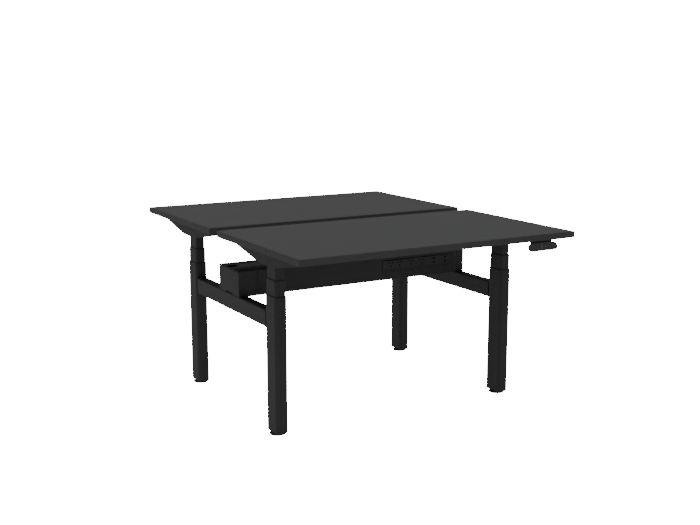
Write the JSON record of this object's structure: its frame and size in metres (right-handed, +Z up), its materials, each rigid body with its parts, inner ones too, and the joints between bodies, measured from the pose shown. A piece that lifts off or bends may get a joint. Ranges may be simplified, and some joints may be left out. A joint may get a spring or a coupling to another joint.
{
  "type": "height adjustable desk",
  "caption": "Two-person height adjustable desk: dark tops back to back on three-stage lifting columns, end crossbars, a cable duct with outlets, and a handset under each front edge.",
  "frame": {"origin": "on the floor at the middle of the desk", "axes": "+X along the width of the tops, to the front user's right; +Y from the front user to the rear user; +Z up"},
  "size_m": [1.2, 1.505, 0.732],
  "materials": {
    "top_laminate": "matt charcoal melamine face",
    "powder_coat": "fine-textured matt black powder coat",
    "black_plastic": "satin black",
    "motor_housing": "satin black",
    "zinc_steel": "zinc plated",
    "foot_plastic": "matt black",
    "key_plastic": "satin dark grey"
  },
  "bodies": {
    "base": {"front_left_outer_tube": "powder_coat", "front_left_outer_collar": "black_plastic", "front_right_outer_tube": "powder_coat", "front_right_outer_collar": "black_plastic", "rear_left_outer_tube": "powder_coat", "rear_left_outer_collar": "black_plastic", "rear_right_outer_tube": "powder_coat", "rear_right_outer_collar": "black_plastic", "left_crossbar": "powder_coat", "right_crossbar": "powder_coat", "duct_tray": "powder_coat", "duct_left_end_box": "powder_coat", "duct_right_end_cap": "powder_coat", "duct_lid": "powder_coat", "front_outlet_strip": "black_plastic", "rear_outlet_strip": "black_plastic"},
    "front_stages": {"front_left_middle_tube": "powder_coat", "front_left_middle_collar": "black_plastic", "front_right_middle_tube": "powder_coat", "front_right_middle_collar": "black_plastic"},
    "front_desk": {"front_top": "top_laminate", "front_top_rail": "powder_coat", "front_control_box": "black_plastic", "front_handset": "black_plastic", "front_left_inner_tube": "powder_coat", "front_left_support_arm": "powder_coat", "front_left_gear_motor": "motor_housing", "front_right_inner_tube": "powder_coat", "front_right_support_arm": "powder_coat", "front_right_gear_motor": "motor_housing"},
    "front_left_screw": {"front_left_spindle": "zinc_steel"},
    "front_left_foot": {"front_left_levelling_foot": "foot_plastic"},
    "front_right_screw": {"front_right_spindle": "zinc_steel"},
    "front_right_foot": {"front_right_levelling_foot": "foot_plastic"},
    "front_up_key": {"front_up_button": "key_plastic"},
    "front_down_key": {"front_down_button": "key_plastic"},
    "front_memory_1_key": {"front_memory_1_button": "key_plastic"},
    "front_memory_2_key": {"front_memory_2_button": "key_plastic"},
    "rear_stages": {"rear_left_middle_tube": "powder_coat", "rear_left_middle_collar": "black_plastic", "rear_right_middle_tube": "powder_coat", "rear_right_middle_collar": "black_plastic"},
    "rear_desk": {"rear_top": "top_laminate", "rear_top_rail": "powder_coat", "rear_control_box": "black_plastic", "rear_handset": "black_plastic", "rear_left_inner_tube": "powder_coat", "rear_left_support_arm": "powder_coat", "rear_left_gear_motor": "motor_housing", "rear_right_inner_tube": "powder_coat", "rear_right_support_arm": "powder_coat", "rear_right_gear_motor": "motor_housing"},
    "rear_left_screw": {"rear_left_spindle": "zinc_steel"},
    "rear_left_foot": {"rear_left_levelling_foot": "foot_plastic"},
    "rear_right_screw": {"rear_right_spindle": "zinc_steel"},
    "rear_right_foot": {"rear_right_levelling_foot": "foot_plastic"},
    "rear_up_key": {"rear_up_button": "key_plastic"},
    "rear_down_key": {"rear_down_button": "key_plastic"},
    "rear_memory_1_key": {"rear_memory_1_button": "key_plastic"},
    "rear_memory_2_key": {"rear_memory_2_button": "key_plastic"}
  },
  "joints": [
    {"name": "front_desk_lift", "type": "slide", "parent": "base", "child": "front_desk", "axis": [0, 0, 1], "range_m": [-0.092, 0.558]},
    {"name": "front_stage_slide", "type": "slide", "parent": "base", "child": "front_stages", "axis": [0, 0, 1], "range_m": [-0.046, 0.279]},
    {"name": "front_left_screw_turn", "type": "hinge", "parent": "front_desk", "child": "front_left_screw", "pos_m": [-0.5155, -0.3815, 0.4], "axis": [0, 0, 1], "continuous": true},
    {"name": "front_left_foot_adjust", "type": "slide", "parent": "base", "child": "front_left_foot", "axis": [0, 0, -1], "range_m": [0, 0.012]},
    {"name": "front_right_screw_turn", "type": "hinge", "parent": "front_desk", "child": "front_right_screw", "pos_m": [0.5155, -0.3815, 0.4], "axis": [0, 0, 1], "continuous": true},
    {"name": "front_right_foot_adjust", "type": "slide", "parent": "base", "child": "front_right_foot", "axis": [0, 0, -1], "range_m": [0, 0.012]},
    {"name": "front_up_press", "type": "slide", "parent": "front_desk", "child": "front_up_key", "axis": [0, 0.866, -0.5], "range_m": [0, 0.0012], "stiffness_N_per_m": 1200},
    {"name": "front_down_press", "type": "slide", "parent": "front_desk", "child": "front_down_key", "axis": [0, 0.866, -0.5], "range_m": [0, 0.0012], "stiffness_N_per_m": 1200},
    {"name": "front_memory_1_press", "type": "slide", "parent": "front_desk", "child": "front_memory_1_key", "axis": [0, 0.866, -0.5], "range_m": [0, 0.0012], "stiffness_N_per_m": 1200},
    {"name": "front_memory_2_press", "type": "slide", "parent": "front_desk", "child": "front_memory_2_key", "axis": [0, 0.866, -0.5], "range_m": [0, 0.0012], "stiffness_N_per_m": 1200},
    {"name": "rear_desk_lift", "type": "slide", "parent": "base", "child": "rear_desk", "axis": [0, 0, 1], "range_m": [-0.092, 0.558]},
    {"name": "rear_stage_slide", "type": "slide", "parent": "base", "child": "rear_stages", "axis": [0, 0, 1], "range_m": [-0.046, 0.279]},
    {"name": "rear_left_screw_turn", "type": "hinge", "parent": "rear_desk", "child": "rear_left_screw", "pos_m": [-0.5155, 0.3815, 0.4], "axis": [0, 0, 1], "continuous": true},
    {"name": "rear_left_foot_adjust", "type": "slide", "parent": "base", "child": "rear_left_foot", "axis": [0, 0, -1], "range_m": [0, 0.012]},
    {"name": "rear_right_screw_turn", "type": "hinge", "parent": "rear_desk", "child": "rear_right_screw", "pos_m": [0.5155, 0.3815, 0.4], "axis": [0, 0, 1], "continuous": true},
    {"name": "rear_right_foot_adjust", "type": "slide", "parent": "base", "child": "rear_right_foot", "axis": [0, 0, -1], "range_m": [0, 0.012]},
    {"name": "rear_up_press", "type": "slide", "parent": "rear_desk", "child": "rear_up_key", "axis": [0, -0.866, -0.5], "range_m": [0, 0.0012], "stiffness_N_per_m": 1200},
    {"name": "rear_down_press", "type": "slide", "parent": "rear_desk", "child": "rear_down_key", "axis": [0, -0.866, -0.5], "range_m": [0, 0.0012], "stiffness_N_per_m": 1200},
    {"name": "rear_memory_1_press", "type": "slide", "parent": "rear_desk", "child": "rear_memory_1_key", "axis": [0, -0.866, -0.5], "range_m": [0, 0.0012], "stiffness_N_per_m": 1200},
    {"name": "rear_memory_2_press", "type": "slide", "parent": "rear_desk", "child": "rear_memory_2_key", "axis": [0, -0.866, -0.5], "range_m": [0, 0.0012], "stiffness_N_per_m": 1200}
  ],
  "couplings": [
    {"joint": "front_stage_slide", "follows": "front_desk_lift", "ratio": 0.5},
    {"joint": "front_left_screw_turn", "follows": "front_desk_lift", "rad_per_m": 392.7},
    {"joint": "front_right_screw_turn", "follows": "front_desk_lift", "rad_per_m": 392.7},
    {"joint": "rear_stage_slide", "follows": "rear_desk_lift", "ratio": 0.5},
    {"joint": "rear_left_screw_turn", "follows": "rear_desk_lift", "rad_per_m": 392.7},
    {"joint": "rear_right_screw_turn", "follows": "rear_desk_lift", "rad_per_m": 392.7}
  ]
}
